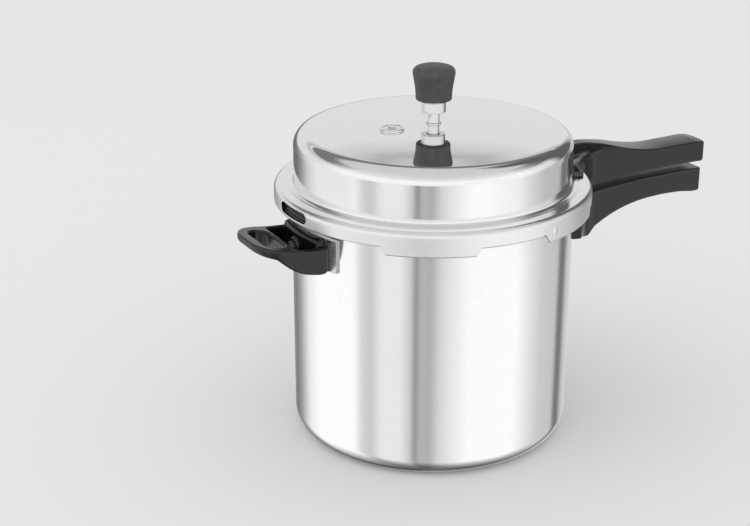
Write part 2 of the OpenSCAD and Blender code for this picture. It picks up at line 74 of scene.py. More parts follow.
# pot
POT_R, POT_WALL = 108.0, 3.0
BASE_THICK, BASE_BEND = 4.5, 15.0
RIM_R, RIM_LUG_R, RIM_THICK = 112.0, 117.5, 3.6
RIM_LIP = 1.1
RIM_TOP = cad("pot_body")[1].z - RIM_LIP
RIM_UNDER = RIM_TOP - RIM_THICK
BASE_HOLLOW, BASE_RING_R = 0.5, 84      # the base's middle stands off the hob inside this ring
GROOVES, GROOVE_DEPTH, GROOVE_HALF = (14, 30, 46, 62, 78), 0.35, 0.9

# lid, from its crown down to its skirt
LID_SHEET = 2.7
LID_TOP = cad("lid_shell")[1].z
TAB_EDGE = cad("lid_shell")[0].z
CREASE_R, CREASE_Z = 95.2, 240.6
DOME_R = (CREASE_R ** 2 + (LID_TOP - CREASE_Z) ** 2) / (2 * (LID_TOP - CREASE_Z))
ROLL_R, ROLL_END = 22.0, 11.0           # gentle roll between the crown and the shoulder
LID_WALL_R, SHOULDER = 106.3, 11.3
FLANGE_Z, FLANGE_BEND = 201.0, 2.5
SKIRT_R, SKIRT_BEND = 121.6, 4.6
SKIRT_EDGE = 187.8
FLANGE_STEP = 0.35                      # fall of the flange outside the gasket's seat
LUG_INNER_R, LUG_TOP = 112.5, RIM_UNDER - 0.3
LUG_PHASE, LUG_PITCH = -1.5, 60
LUG_PLACES = (0, 1, 2, 4, 5)
TAB_HALF, LUG_HALF, RIM_LUG_HALF = 16.25, 14.75, 13.0
WINDOW_ANGLE, WINDOW_WIDTH = 181.0, 18.3
WINDOW_Z = (190.5, 198.0)
STOP_ANGLE, STOP_Z, STOP_HEIGHT, STOP_SIZE = -74.6, 190.0, 0.8, 1.6
NOTCH_ANGLE = -79.6

# vent tube, weight and safety plug
TUBE_R, TUBE_TIP = 4.55, cad("vent_tube")[1].z
WEIGHT_R, WEIGHT_Z = 9.3, cad("weight_body")[0].z
CAP_Z, CAP_WIDE_Z, CAP_TOP = cad("weight_cap")[0].z, 284.3, cad("weight_cap")[1].z
CAP_LOW_R, CAP_R = 13.7, 16.1

PLUG_R, PLUG_ANGLE, PLUG_FLANGE = 35.5, 178.5, 9.2
PLUG_UNDER, FUSE_R = -10, 2.6           # the plug's lower end, under the lid's surface, and its hole

# handles
GRIP_HALF, ROOT_HALF = 13.4, 55.0
GRIP_START = 148                        # where the root's wings run into the grip
HANDLE_GAP = 0.25                       # between the upper handle and the lid
LID_TIP, POT_TIP = cad("lid_handle")[1].x, cad("pot_handle")[1].x
LID_SCREW_X, POT_SCREW_X = 150.0, 146.0
LID_HEAD_Z, POT_HEAD_Z = 182.0, 149.0

HELPER_HALF, HELPER_TIP, HELPER_CORNER = 31.0, -cad("helper_handle")[0].x, 22.0
HELPER_SEAT = POT_R + 2.1
HELPER_SCREW_Z = (cad("helper_handle_screw")[0].z + cad("helper_handle_screw")[1].z) / 2


# ---------- outlines ----------

def arc(x, z, radius, start, end, step=8.0):
    """Points on an arc round (x, z), from one angle to another, in degrees."""
    count = max(2, math.ceil(abs(end - start) / step))
    angles = np.radians(np.linspace(start, end, count + 1))
    return [(x + radius * math.cos(a), z + radius * math.sin(a)) for a in angles]


def fillet(corners, closed=False, steps=5):
    """Outline through (x, z, radius) corners, with an arc of that radius at each corner."""
    points = []
    count = len(corners)
    for k, (x, z, radius) in enumerate(corners):
        if radius == 0 or (not closed and k in (0, count - 1)):
            points.append((x, z))
            continue
        here = Vector((x, z))
        to_last = (Vector(corners[k - 1][:2]) - here).normalized()
        to_next = (Vector(corners[(k + 1) % count][:2]) - here).normalized()
        half = to_last.angle(to_next) / 2
        middle = here + (to_last + to_next).normalized() * radius / math.sin(half)
        start = here + to_last * radius / math.tan(half) - middle
        end = here + to_next * radius / math.tan(half) - middle
        sweep = math.atan2(start.x * end.y - start.y * end.x, start.dot(end))
        for i in range(steps + 1):
            turn = sweep * i / steps
            c, s = math.cos(turn), math.sin(turn)
            points.append((middle.x + start.x * c - start.y * s, middle.y + start.x * s + start.y * c))
    return points


def braced(points, closed=False, near=0.35):
    """The outline with extra points close to the ends of its long straights, to hold its shading."""
    result = []
    count = len(points)
    for k, p in enumerate(points):
        result.append(p)
        if k == count - 1 and not closed:
            break
        q = points[(k + 1) % count]
        length = math.dist(p, q)
        if length > 4 * near:
            for t in (near / length, 1 - near / length):
                result.append((p[0] + (q[0] - p[0]) * t, p[1] + (q[1] - p[1]) * t))
    return result


def bezier(p, count=14):
    """Points along a cubic curve with four control points."""
    t = np.linspace(0, 1, count)[:, None]
    p = np.array(p, float)
    return (1 - t) ** 3 * p[0] + 3 * t * (1 - t) ** 2 * p[1] + 3 * t ** 2 * (1 - t) * p[2] + t ** 3 * p[3]


def smoothstep(x):
    """Smooth step from 0 to 1 as x goes from 0 to 1."""
    x = min(max(x, 0.0), 1.0)
    return x * x * (3 - 2 * x)


# ---------- making pieces ----------

def add_piece(name, mesh, body, slot, *nodes):
    """Puts a mesh in the scene as a piece that rides on a body and stands for CAD nodes."""
    piece = bpy.data.objects.new(name, mesh)
    scene.collection.objects.link(piece)
    mesh.materials.append(materials[slot])
    mesh.polygons.foreach_set("use_smooth", [True] * len(mesh.polygons))
    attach(piece, body)
    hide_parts(*nodes)
    return piece


def mesh_of(bm, name):
    """Closes a bmesh in millimetres and turns it into a mesh in metres."""
    bmesh.ops.remove_doubles(bm, verts=bm.verts, dist=1e-4)
    bmesh.ops.recalc_face_normals(bm, faces=bm.faces)
    bmesh.ops.scale(bm, vec=(MM, MM, MM), verts=bm.verts)
    mesh = bpy.data.meshes.new(name)
    bm.to_mesh(mesh)
    bm.free()
    return mesh


def turned_grid(bm, outline_at, angles, closed, keep=lambda row, column: True):
    """Faces between copies of an outline set round the axis. Returns the vertices as [column][row]."""
    columns = []
    for angle in angles:
        c, s = math.cos(math.radians(angle)), math.sin(math.radians(angle))
        columns.append([bm.verts.new((r * c, r * s, z)) for r, z in outline_at(angle)])
    rows = len(columns[0])
    for j, column in enumerate(columns):
        beside = columns[(j + 1) % len(columns)]
        for i in range(rows if closed else rows - 1):
            if keep(i, j):
                k = (i + 1) % rows
                bm.faces.new((column[i], beside[i], beside[k], column[k]))
    return columns


def lathe(name, outline, closed=False, segments=128):
    """Mesh turned from one outline of (radius, height) points."""
    bm = bmesh.new()
    turned_grid(bm, lambda angle: outline, np.arange(segments) * 360 / segments, closed)
    return mesh_of(bm, name)


def apart(a, b):
    """Degrees between two angles."""
    return abs((a - b + 180) % 360 - 180)


def from_lug(angle):
    """Degrees from an angle to the middle of the nearest lug of the lock."""
    return min(apart(angle, LUG_PHASE + spot * LUG_PITCH) for spot in LUG_PLACES)


def beside_lugs(half, reach, step):
    """Spans for fine_angles at both ends of every lug."""
    return [(LUG_PHASE + spot * LUG_PITCH + side * half, reach, step)
            for spot in LUG_PLACES for side in (-1, 1)]


def fine_angles(spans, coarse=2.0):
    """Angles round the axis: coarse steps, with finer ones in spans of (middle, half width, step)."""
    angles = []
    angle = -180.0
    while angle < 180 - 1e-6:
        angles.append(angle)
        steps = [coarse]
        for middle, half, step in spans:
            away = apart(angle, middle)
            if away < half:
                steps.append(step)
            elif away < half + coarse:
                steps.append(max(step, away - half + step / 2))
        angle += min(steps)
    if 180 - angles[-1] < min(s[2] for s in spans) / 2:
        angles.pop()
    return angles


# ---------- pieces from signed distances ----------

def round_max(a, b, radius):
    """Intersection of two shapes given by signed distances, its edge rounded to a radius."""
    u, v = np.maximum(a + radius, 0), np.maximum(b + radius, 0)
    return np.minimum(np.maximum(a, b), -radius) + np.hypot(u, v)


def round_min(a, b, radius):
    """Union of two shapes with a fillet where they meet."""
    return -round_max(-a, -b, radius)


def above(table, across, value):
    """Signed distance above the curve through the table's points, which run along `across`."""
    table = np.array(table, float)
    order = np.argsort(table[:, 0])
    xs, zs = table[order, 0], table[order, 1]
    slope = np.interp(across, xs, np.gradient(zs, xs))
    return (value - np.interp(across, xs, zs)) / np.sqrt(1 + slope ** 2)


def joined(*parts):
    """One table of points from single points and curves."""
    return np.concatenate([np.atleast_2d(part) for part in parts])


EDGE_PROBE_DEPTH = 2.0         # how far under the skin an edge is felt for
CUBE = np.array([(i, j, k) for i in (0, 1) for j in (0, 1) for k in (0, 1)])
CUBE_EDGES = [(a, b) for a in range(8) for b in range(a + 1, 8) if abs(CUBE[a] - CUBE[b]).sum() == 1]


def slope_of(shape, points, reach=0.02):
    """Gradient of a shape's distance at some points."""
    return np.stack([(shape(*(points + d).T) - shape(*(points - d).T)) / (2 * reach)
                     for d in np.eye(3) * reach], axis=1)


def settled(shape, points, reach):
    """Points moved onto the surface, each by no more than reach, and the shape's slope there."""
    start = points.copy()
    for _ in range(4):
        slope = slope_of(shape, points)
        step = slope * (shape(*points.T) / np.maximum((slope ** 2).sum(1), 0.2))[:, None]
        points = np.clip(points - step, start - reach, start + reach)
    return points, slope


def worn_highlit_edges(shape, points, slope):
    """1 on a shape's rounded edges, falling to 0 on its flat faces and in its hollows."""
    steep = np.maximum(np.sqrt((slope ** 2).sum(1)), 0.5)
    inner = shape(*(points - EDGE_PROBE_DEPTH * slope / steep[:, None]).T) / steep
    return np.clip((inner / EDGE_PROBE_DEPTH + 0.9) / 0.6, 0, 1)


def quads_round(inside, number):
    """Quads between the points of neighbouring cells, one for each grid edge that is crossed."""
    faces = []
    for axis in range(3):
        u, v = (axis + 1) % 3, (axis + 2) % 3
        low_side = np.moveaxis(inside, axis, 0)[:-1]
        high_side = np.moveaxis(inside, axis, 0)[1:]
        found = np.argwhere(np.moveaxis(low_side != high_side, 0, axis))
        ring = []
        for du, dv in ((-1, -1), (0, -1), (0, 0), (-1, 0)):
            at = found.copy()
            at[:, u] += du
            at[:, v] += dv
            ring.append(number[tuple(at.T)])
        quads = np.stack(ring, axis=1)
        outward = inside[tuple(found.T)]
        faces.append(np.where(outward[:, None], quads, quads[:, ::-1]))
    return np.concatenate(faces)


def implicit(name, boundless, low, high, cell):
    """Mesh of even quads where a signed distance is zero, kept between two corners of a box."""
    def shape(*point):
        outside = [np.maximum(a - p, p - b) for a, b, p in zip(low, high, point)]
        return np.maximum(boundless(*point), np.maximum.reduce(outside))

    axes = [np.arange(a - 1.5 * cell, b + 2.5 * cell, cell) for a, b in zip(low, high)]
    value = shape(*np.meshgrid(*axes, indexing="ij"))
    inside = value < 0
    size = np.array(value.shape) - 1
    count = sum(inside[i:size[0] + i, j:size[1] + j, k:size[2] + k].astype(int) for i, j, k in CUBE)
    active = np.argwhere((count > 0) & (count < 8))
    number = np.full(size, -1)
    number[tuple(active.T)] = np.arange(len(active))

    total, crossings = np.zeros((len(active), 3)), np.zeros((len(active), 1))
    for a, b in CUBE_EDGES:
        va, vb = (value[tuple((active + CUBE[k]).T)] for k in (a, b))
        crossed = (va < 0) != (vb < 0)
        t = np.where(crossed, va / np.where(crossed, va - vb, 1), 0)[:, None]
        total += np.where(crossed[:, None], CUBE[a] + t * (CUBE[b] - CUBE[a]), 0)
        crossings += crossed[:, None]
    points = np.array([a[0] for a in axes]) + (active + total / crossings) * cell

    points, slope = settled(shape, points, 0.6 * cell)
    mesh = bpy.data.meshes.new(name)
    mesh.from_pydata((points * MM).tolist(), [], quads_round(inside, number).tolist())
    # rounded edges marked for a paler colour: partly wear, partly painted highlight
    edge = worn_highlit_edges(shape, points, slope)
    mesh.attributes.new("wear_and_highlight", "FLOAT", "POINT").data.foreach_set("value", edge)
    return mesh


# ---------- materials ----------

def add(tree, kind, inputs=None, **settings):
    """Adds a node. Inputs are given by name or number, as values or as the sockets that feed them."""
    made = tree.nodes.new("ShaderNode" + kind)
    for key, value in settings.items():
        setattr(made, key, value)
    for key, value in (inputs or {}).items():
        if isinstance(value, bpy.types.NodeSocket):
            tree.links.new(value, made.inputs[key])
        else:
            made.inputs[key].default_value = value
    return made


def math_node(tree, operation, a, b=0.0, clamp=False):
    """Output of a Math node."""
    return add(tree, "Math", {0: a, 1: b}, operation=operation, use_clamp=clamp).outputs[0]


def scaled(tree, colour, factor):
    """A colour times a factor or another colour."""
    return add(tree, "VectorMath", {0: colour, 1: factor}, operation="MULTIPLY").outputs[0]


def mixed(tree, factor, a, b):
    """Colour between a and b."""
    return add(tree, "Mix", {"Factor": factor, 6: a, 7: b}, data_type="RGBA").outputs[2]


def ramp(tree, value, stops):
    """Colour ramp with (place, grey or colour) stops."""
    made = add(tree, "ValToRGB", {0: value})
    elements = made.color_ramp.elements
    while len(elements) < len(stops):
        elements.new(0.5)
    for element, (place, colour) in zip(elements, stops):
        element.position = place
        element.color = (*colour, 1) if isinstance(colour, tuple) else (colour, colour, colour, 1)
    return made.outputs[0]


def new_material(name, **constants):
    """A material, its node tree and its shader, with the shader's constant inputs set."""
    made = bpy.data.materials.new(name)
    made.use_nodes = True
    shader = made.node_tree.nodes["Principled BSDF"]
    for key, value in constants.items():
        shader.inputs[key.replace("_", " ").title().replace("Ior", "IOR")].default_value = value
    return made, made.node_tree, shader


def place(tree, scale=(1, 1, 1)):
    """The point on the object in millimetres, scaled along each axis."""
    coords = add(tree, "TexCoord").outputs["Object"]
    factor = [s / MM for s in scale]
    return add(tree, "VectorMath", {0: coords, 1: factor}, operation="MULTIPLY").outputs[0]


def noise(tree, vector, scale, detail=3.0, roughness=0.5):
    """Noise with its scale in features per millimetre."""
    made = add(tree, "TexNoise", {"Vector": vector, "Scale": scale, "Detail": detail,
                                  "Roughness": roughness})
    return made.outputs["Fac"]


def turning_lines(tree):
    """(radius, height) of the point, along which turned and spun metal has its fine lines."""
    point = place(tree)
    split = add(tree, "SeparateXYZ", {0: point})
    flat = add(tree, "CombineXYZ", {0: split.outputs[0], 1: split.outputs[1]}).outputs[0]
    radius = add(tree, "VectorMath", {0: flat}, operation="LENGTH").outputs["Value"]
    return radius, split.outputs[2]


def spread(tree, fac, low, high, out_low, out_high):
    """Value mapped from one range to another, and held at its ends."""
    made = add(tree, "MapRange", {"Value": fac, "From Min": low, "From Max": high,
                                  "To Min": out_low, "To Max": out_high})
    return made.outputs[0]


def finish(tree, shader, colour, rough, height, strength, depth):
    """Feeds a colour, a roughness and a bump height in millimetres to the shader."""
    bump = add(tree, "Bump", {"Height": height, "Strength": strength, "Distance": depth * MM})
    for key, value in (("Base Color", colour), ("Roughness", rough), ("Normal", bump.outputs[0])):
        tree.links.new(value, shader.inputs[key])


# Painted shade and painted dark reflection: a near-black colour for the window's cut side, for the shaded
# sheet edge and the dark gasket it reflects.
EDGE_SHADE_TINT = (0.06, 0.058, 0.055, 1)


def metal(name, tint, bands, line=2.2, depth=0.012, smudge=0.03, painted_foot_shade=None):
    """Turned or spun metal: fine circular lines, faint smudges and a roughness that follows height.

    bands are (height, roughness) stops, from the lowest to the highest. The last argument, when given, is
    (shade, height): painted shade that darkens the metal to that shade from that height down to its foot,
    standing in for the shaded floor that the foot reflects. The window's cut side gets a painted dark
    shade."""
    made, tree, shader = new_material(name, metallic=1.0)
    radius, height = turning_lines(tree)
    rings = add(tree, "CombineXYZ", {0: radius, 1: height}).outputs[0]
    fine = noise(tree, rings, line, 4.0, 0.7)
    broad = noise(tree, place(tree), 0.035, 3.0)
    clouds = noise(tree, place(tree), 0.3, 4.0, 0.6)
    low, high = bands[0][0], bands[-1][0]
    level = spread(tree, height, low, high, 0.0, 1.0)
    base = ramp(tree, level, [((z - low) / (high - low), rough) for z, rough in bands])
    varied = math_node(tree, "ADD", base, spread(tree, broad, 0.3, 0.7, -smudge, smudge))
    lined = math_node(tree, "ADD", varied, spread(tree, fine, 0.3, 0.7, -0.02, 0.03), clamp=True)
    colour = ramp(tree, clouds, [(0.3, tuple(c * 0.965 for c in tint)), (0.7, tint)])
    # painted shade: the colour darkens towards the foot, standing in for the shaded floor the foot reflects
    if painted_foot_shade:
        colour = scaled(tree, colour, spread(tree, height, 0.0, painted_foot_shade[1], painted_foot_shade[0], 1.0))
    # painted shade: the window's cut side is mixed to the near-black edge colour
    edge_shade_mask = add(tree, "Attribute", attribute_name="painted_edge_shade").outputs["Fac"]
    finish(tree, shader, mixed(tree, edge_shade_mask, colour, EDGE_SHADE_TINT), lined, fine, 0.25, depth)
    return made


def moulded(name, dark, light, dull, grain, depth, wear_and_highlight=None, **constants):
    """Moulded phenolic or rubber: faint mottling, a fine skin texture and, when an edge colour is
    given, rounded edges made paler, partly by wear from hands and partly as a painted highlight."""
    made, tree, shader = new_material(name, **constants)
    point = place(tree)
    mottle = noise(tree, point, 0.12, 5.0, 0.6)
    skin = noise(tree, point, grain, 3.0, 0.6)
    pores = noise(tree, point, grain * 0.22, 2.0)
    colour = ramp(tree, mottle, [(0.35, dark), (0.7, light)])
    # painted highlight mixed with wear: the rounded edges take the paler colour
    if wear_and_highlight:
        edge = add(tree, "Attribute", attribute_name="wear_and_highlight").outputs["Fac"]
        colour = mixed(tree, edge, colour, (*wear_and_highlight, 1))
    rough = spread(tree, mottle, 0.3, 0.7, dull - 0.05, dull + 0.05)
    rough = math_node(tree, "ADD", rough, spread(tree, pores, 0.3, 0.7, -0.03, 0.03))
    height = math_node(tree, "ADD", skin, math_node(tree, "MULTIPLY", pores, 1.5))
    finish(tree, shader, colour, rough, height, 0.3, depth)
    return made


def plated(name, tint, dull):
    """Zinc-plated or brushed sheet: short brush marks along one direction and a mottled plating."""
    made, tree, shader = new_material(name, metallic=1.0)
    brushed = noise(tree, place(tree, (0.15, 0.15, 3.0)), 1.2, 4.0, 0.7)
    patches = noise(tree, place(tree), 0.25, 4.0, 0.6)
    colour = ramp(tree, patches, [(0.3, tuple(c * 0.85 for c in tint)), (0.7, tint)])
    rough = math_node(tree, "ADD", spread(tree, patches, 0.3, 0.7, dull - 0.06, dull + 0.06),
                      spread(tree, brushed, 0.3, 0.7, -0.05, 0.05))
    finish(tree, shader, colour, rough, brushed, 0.35, 0.03)
    return made


ALUMINIUM = (0.915, 0.915, 0.92)


def pot_aluminium():
    """Satin drawn aluminium, dull at its foot, with painted shade there for the shaded floor it reflects.
    """
    return metal("pot_aluminium", ALUMINIUM, smudge=0.012, painted_foot_shade=(0.6, 7.0),
                 bands=[(0, 0.3), (6, 0.16), (16, 0.1), (190, 0.1)])


def lid_aluminium():
    """Aluminium with a satin skirt, a brighter wall and a mirror-polished crown."""
    return metal("lid_aluminium", ALUMINIUM, line=1.6, depth=0.006, smudge=0.012, bands=[
        (182, 0.42), (198.5, 0.38), (200.5, 0.12), (230, 0.08), (236, 0.035), (246, 0.03)])


def polished_steel():
    """Turned and polished steel of the vent tube and the weight."""
    return metal("polished_steel", (0.80, 0.80, 0.80), line=3.5, depth=0.01, bands=[(230, 0.1), (270, 0.1)])


def plug_metal():
    """Turned metal of the safety plug."""
    return metal("plug_metal", (0.82, 0.82, 0.825), line=4.0, depth=0.01, bands=[(230, 0.12), (250, 0.12)])


def fusible_alloy():
    """Cast low-melting alloy in the safety plug."""
    return plated("fusible_alloy", (0.74, 0.74, 0.75), 0.3)


def bracket_steel():
    """Zinc-plated sheet and rivets."""
    return plated("bracket_steel", (0.74, 0.74, 0.74), 0.27)


def screw_steel():
    """Near-black screws, washers and clip: the dark tint is painted shade, for the shaded screw in the
    helper's recess.
    """
    return plated("screw_steel", (0.10, 0.10, 0.10), 0.36)


def bakelite():
    """Glossy near-black phenolic of the three handles; its paler rounded edges are partly wear, partly
    painted highlight.
    """
    return moulded("bakelite", (0.006, 0.005, 0.0042), (0.0092, 0.0077, 0.0066), 0.2, 9.0, 0.012,
                   wear_and_highlight=(0.065, 0.061, 0.057), ior=1.5)


def cap_bakelite():
    """Duller and paler phenolic of the weight's cap."""
    return moulded("cap_bakelite", (0.055, 0.051, 0.047), (0.085, 0.079, 0.073), 0.5, 5.0, 0.06, ior=1.5)


def rubber():
    """Black rubber of the gasket and the plug's washer."""
    return moulded("rubber", (0.018, 0.018, 0.020), (0.032, 0.032, 0.034), 0.42, 5.0, 0.03, ior=1.5)


materials = {make.__name__: make() for make in (
    pot_aluminium, lid_aluminium, polished_steel, plug_metal, fusible_alloy, bracket_steel, screw_steel,
    bakelite, cap_bakelite, rubber)}


# ---------- pot ----------

def pot_outside():
    """Outline of the base, with its turned grooves, and of the bend up to the wall."""
    grooves = [(0, BASE_HOLLOW)]
    for r in GROOVES:
        grooves += fillet([(r, BASE_HOLLOW, 0), (r + GROOVE_HALF, BASE_HOLLOW + GROOVE_DEPTH, 0.6),
                           (r + 2 * GROOVE_HALF, BASE_HOLLOW, 0)], steps=3)
    flat_r = POT_R - BASE_BEND
    foot = fillet([(BASE_RING_R, BASE_HOLLOW, 0), (BASE_RING_R + 3, 0.0, 2), (flat_r, 0, 0)], steps=3)
    return grooves + foot + arc(flat_r, BASE_BEND, BASE_BEND, -90, 0, 5)[1:]


def pot_inside():
    """Outline of the inner bend and the thicker base, down to the axis."""
    inner = arc(POT_R - BASE_BEND, BASE_BEND, BASE_BEND - POT_WALL, 0, -90, 9)
    return [(r, z + BASE_THICK - POT_WALL) for r, z in inner] + [(0, BASE_THICK)]


def pot():
    """Drawn aluminium pot with a turned base, a flanged rim with five lugs and a rounded lip."""
    inner_r = POT_R - POT_WALL
    lip = arc(inner_r + RIM_LIP, RIM_TOP, RIM_LIP, 0, 180, 20)
    outside, inside = pot_outside(), pot_inside()

    def outline_at(angle):
        lug = smoothstep((RIM_LUG_HALF + 0.6 - from_lug(angle)) / 1.2)
        edge = RIM_R + (RIM_LUG_R - RIM_R) * lug
        rim = fillet([(POT_R, 170, 0), (POT_R, RIM_UNDER, 1.2), (edge, RIM_UNDER, 0.8),
                      (edge, RIM_TOP, 0.8), (inner_r + 2 * RIM_LIP, RIM_TOP, 0)], steps=4)
        return braced(outside + rim + lip[1:]) + inside

    bm = bmesh.new()
    turned_grid(bm, outline_at, fine_angles(beside_lugs(RIM_LUG_HALF, 1.2, 0.3)), False)
    add_piece("pot_shell", mesh_of(bm, "pot_shell"), "pot", "pot_aluminium", "pot_body")


# ---------- lid ----------

def skirt_radius(z, depth=0.0):
    """Radius of the skirt's outer face at a height, or of the surface that far under it."""
    bend, middle = SKIRT_BEND - depth / 2, FLANGE_Z - SKIRT_BEND - depth / 2
    up = min(max(z - middle, 0), bend * 0.999)
    return SKIRT_R - depth - bend + math.sqrt(bend ** 2 - up ** 2)


def window_point(u, v, grow):
    """Point on the window's outline that belongs to (u, v) on the edge of a square from -1 to 1."""
    radius = (WINDOW_Z[1] - WINDOW_Z[0]) / 2
    straight = math.radians(WINDOW_WIDTH) * SKIRT_R / 2 - radius
    radius += grow
    if abs(v) == 1:
        along = abs(u) * (straight + radius * math.pi / 4)
        angle = max(along - straight, 0) / radius
        x, z = min(along, straight) + radius * math.sin(angle), v * radius * math.cos(angle)
    else:
        x, z = straight + radius * math.cos(v * math.pi / 4), radius * math.sin(v * math.pi / 4)
    return math.copysign(x, u), z


BEND_TOP = FLANGE_Z - SKIRT_BEND            # where the skirt's straight part begins, outside
INNER_BEND = SKIRT_BEND - LID_SHEET / 2
INNER_BEND_TOP = FLANGE_Z - LID_SHEET - INNER_BEND
SKIRT_IN = SKIRT_R - LID_SHEET
# rows of points down the skirt's straight part, as fractions of the way to its edge
SKIRT_FALLS = np.array([0.08, 0.18, 0.28, 0.38, 0.48, 0.57, 0.66, 0.75, 0.84, 0.92, 0.97])
PATCH_RISE = 5                              # rows by which the window's patch reaches up the bend


def crown():
    """Outline of the slightly domed top, from the vent tube's hole out to the crease."""
    hole_end, edge_end = (90 - math.degrees(math.asin(r / DOME_R)) for r in (TUBE_R + 0.05, CREASE_R))
    return arc(0, LID_TOP - DOME_R, DOME_R, hole_end, edge_end, 0.2)


def lid_outside():
    """Outline of the crown, crease, shoulder, wall and flange, down to the skirt's bend."""
    dome = crown()
    shoulder = arc(LID_WALL_R - SHOULDER, CREASE_Z - SHOULDER, SHOULDER, 90 - ROLL_END, 0, 4.0)
    lean = math.radians(ROLL_END)
    roll_r, roll_z = shoulder[0][0] - ROLL_R * math.sin(lean), shoulder[0][1] - ROLL_R * math.cos(lean)
    roll_start = 90 - math.degrees(math.asin(CREASE_R / DOME_R))
    crease = arc(roll_r, roll_z, ROLL_R, roll_start, 90 - ROLL_END, 1.0)
    outer_z = FLANGE_Z - FLANGE_STEP
    flange = fillet([(LID_WALL_R, FLANGE_Z + 8, 0), (LID_WALL_R, FLANGE_Z, FLANGE_BEND),
                     (110.6, FLANGE_Z - 0.02, 0.5), (111.3, outer_z, 0.5),
                     (SKIRT_R - SKIRT_BEND - 0.2, outer_z, 0)], steps=4)
    bend = [(r, min(z, outer_z)) for r, z in arc(SKIRT_R - SKIRT_BEND, BEND_TOP, SKIRT_BEND, 84, 0, 10)]
    return braced(dome[:-3] + crease + shoulder[1:] + flange, near=0.5) + bend


def lid_inside():
    """Outline of the sheet's inner face, from the skirt's bend back to the hole."""
    dome = crown()
    wall_in, flange_in = LID_WALL_R - LID_SHEET, FLANGE_Z - LID_SHEET
    inner = arc(SKIRT_IN - INNER_BEND, INNER_BEND_TOP, INNER_BEND, 0, 90, 10)
    inner += fillet([(LID_WALL_R + 1, flange_in, 0), (wall_in, flange_in, 2),
                     (wall_in, CREASE_Z - SHOULDER, 0)], steps=4)
    inner += arc(LID_WALL_R - SHOULDER, CREASE_Z - SHOULDER, SHOULDER - LID_SHEET, 0, 88, 8)[1:]
    return inner + [(r, z - LID_SHEET) for r, z in dome[-3::-4]] + [(dome[0][0], dome[0][1] - LID_SHEET)]


def hem(angle):
    """Outline of the skirt's lower edge: plain, or a locking tab with its turned-in lug."""
    away = from_lug(angle)
    tab = smoothstep((TAB_HALF + 0.9 - away) / 1.8)
    lug = smoothstep((LUG_HALF + 0.6 - away) / 1.2)
    edge = SKIRT_EDGE + (TAB_EDGE - SKIRT_EDGE) * tab
    # a nick in the edge and, beside it, a bulge
    edge += 1.1 * math.exp(-((angle - NOTCH_ANGLE) / 0.45) ** 2)
    edge -= 0.9 * math.exp(-((angle - NOTCH_ANGLE - 1.4) / 0.55) ** 2)
    lug_in = SKIRT_IN + (LUG_INNER_R - SKIRT_IN) * lug
    lug_top = edge + LUG_TOP - TAB_EDGE
    return fillet([(SKIRT_R, edge + 4, 0), (SKIRT_R, edge, 1.3), (lug_in, edge, 1.1),
                   (lug_in, lug_top, 1.1), (SKIRT_IN + 0.01, lug_top + 0.05, 0.8),
                   (SKIRT_IN, lug_top + 4, 0)], steps=4)[1:-1]


def stopped(points, angle):
    """The outline with the stop dimple's swelling in the skirt, near the dimple's angle."""
    off = math.radians(angle - STOP_ANGLE) * SKIRT_R
    if abs(off) >= 6:
        return points
    return [(r + STOP_HEIGHT * math.exp(-((off / STOP_SIZE) ** 2 + ((z - STOP_Z) / STOP_SIZE) ** 2) ** 1.5)
             if r > SKIRT_IN - 0.1 and z < BEND_TOP else r, z) for r, z in points]


def window_loops(bm, square, rows, columns):
    """Loops of vertices from the window's outer edge, over its cut side, to its inner edge; the cut side is
    marked for a painted dark shade.
    """
    painted_edge_shade = bm.verts.layers.float["painted_edge_shade"]
    loops = []
    for grow, depth in ((0.9, 0.0), (0.45, 0.08), (0.12, 0.35), (0.0, 0.8), (0.0, LID_SHEET - 0.4),
                        (0.2, LID_SHEET)):
        loop = []
        for r, c in square:
            x, z = window_point(2 * c / columns - 1, 1 - 2 * r / rows, grow)
            z += sum(WINDOW_Z) / 2 - (0.35 if depth == LID_SHEET else 0)
            inward = depth / LID_SHEET
            radius = skirt_radius(z) * (1 - inward) + skirt_radius(z, LID_SHEET) * inward
            angle = math.radians(WINDOW_ANGLE) + x / SKIRT_R
            vert = bm.verts.new((radius * math.cos(angle), radius * math.sin(angle), z))
            # painted shade: the cut side's vertices are marked for the near-black edge colour
            vert[painted_edge_shade] = 1.0 if depth > 0.1 else 0.0
            loop.append(vert)
        loops.append(loop)
    return loops


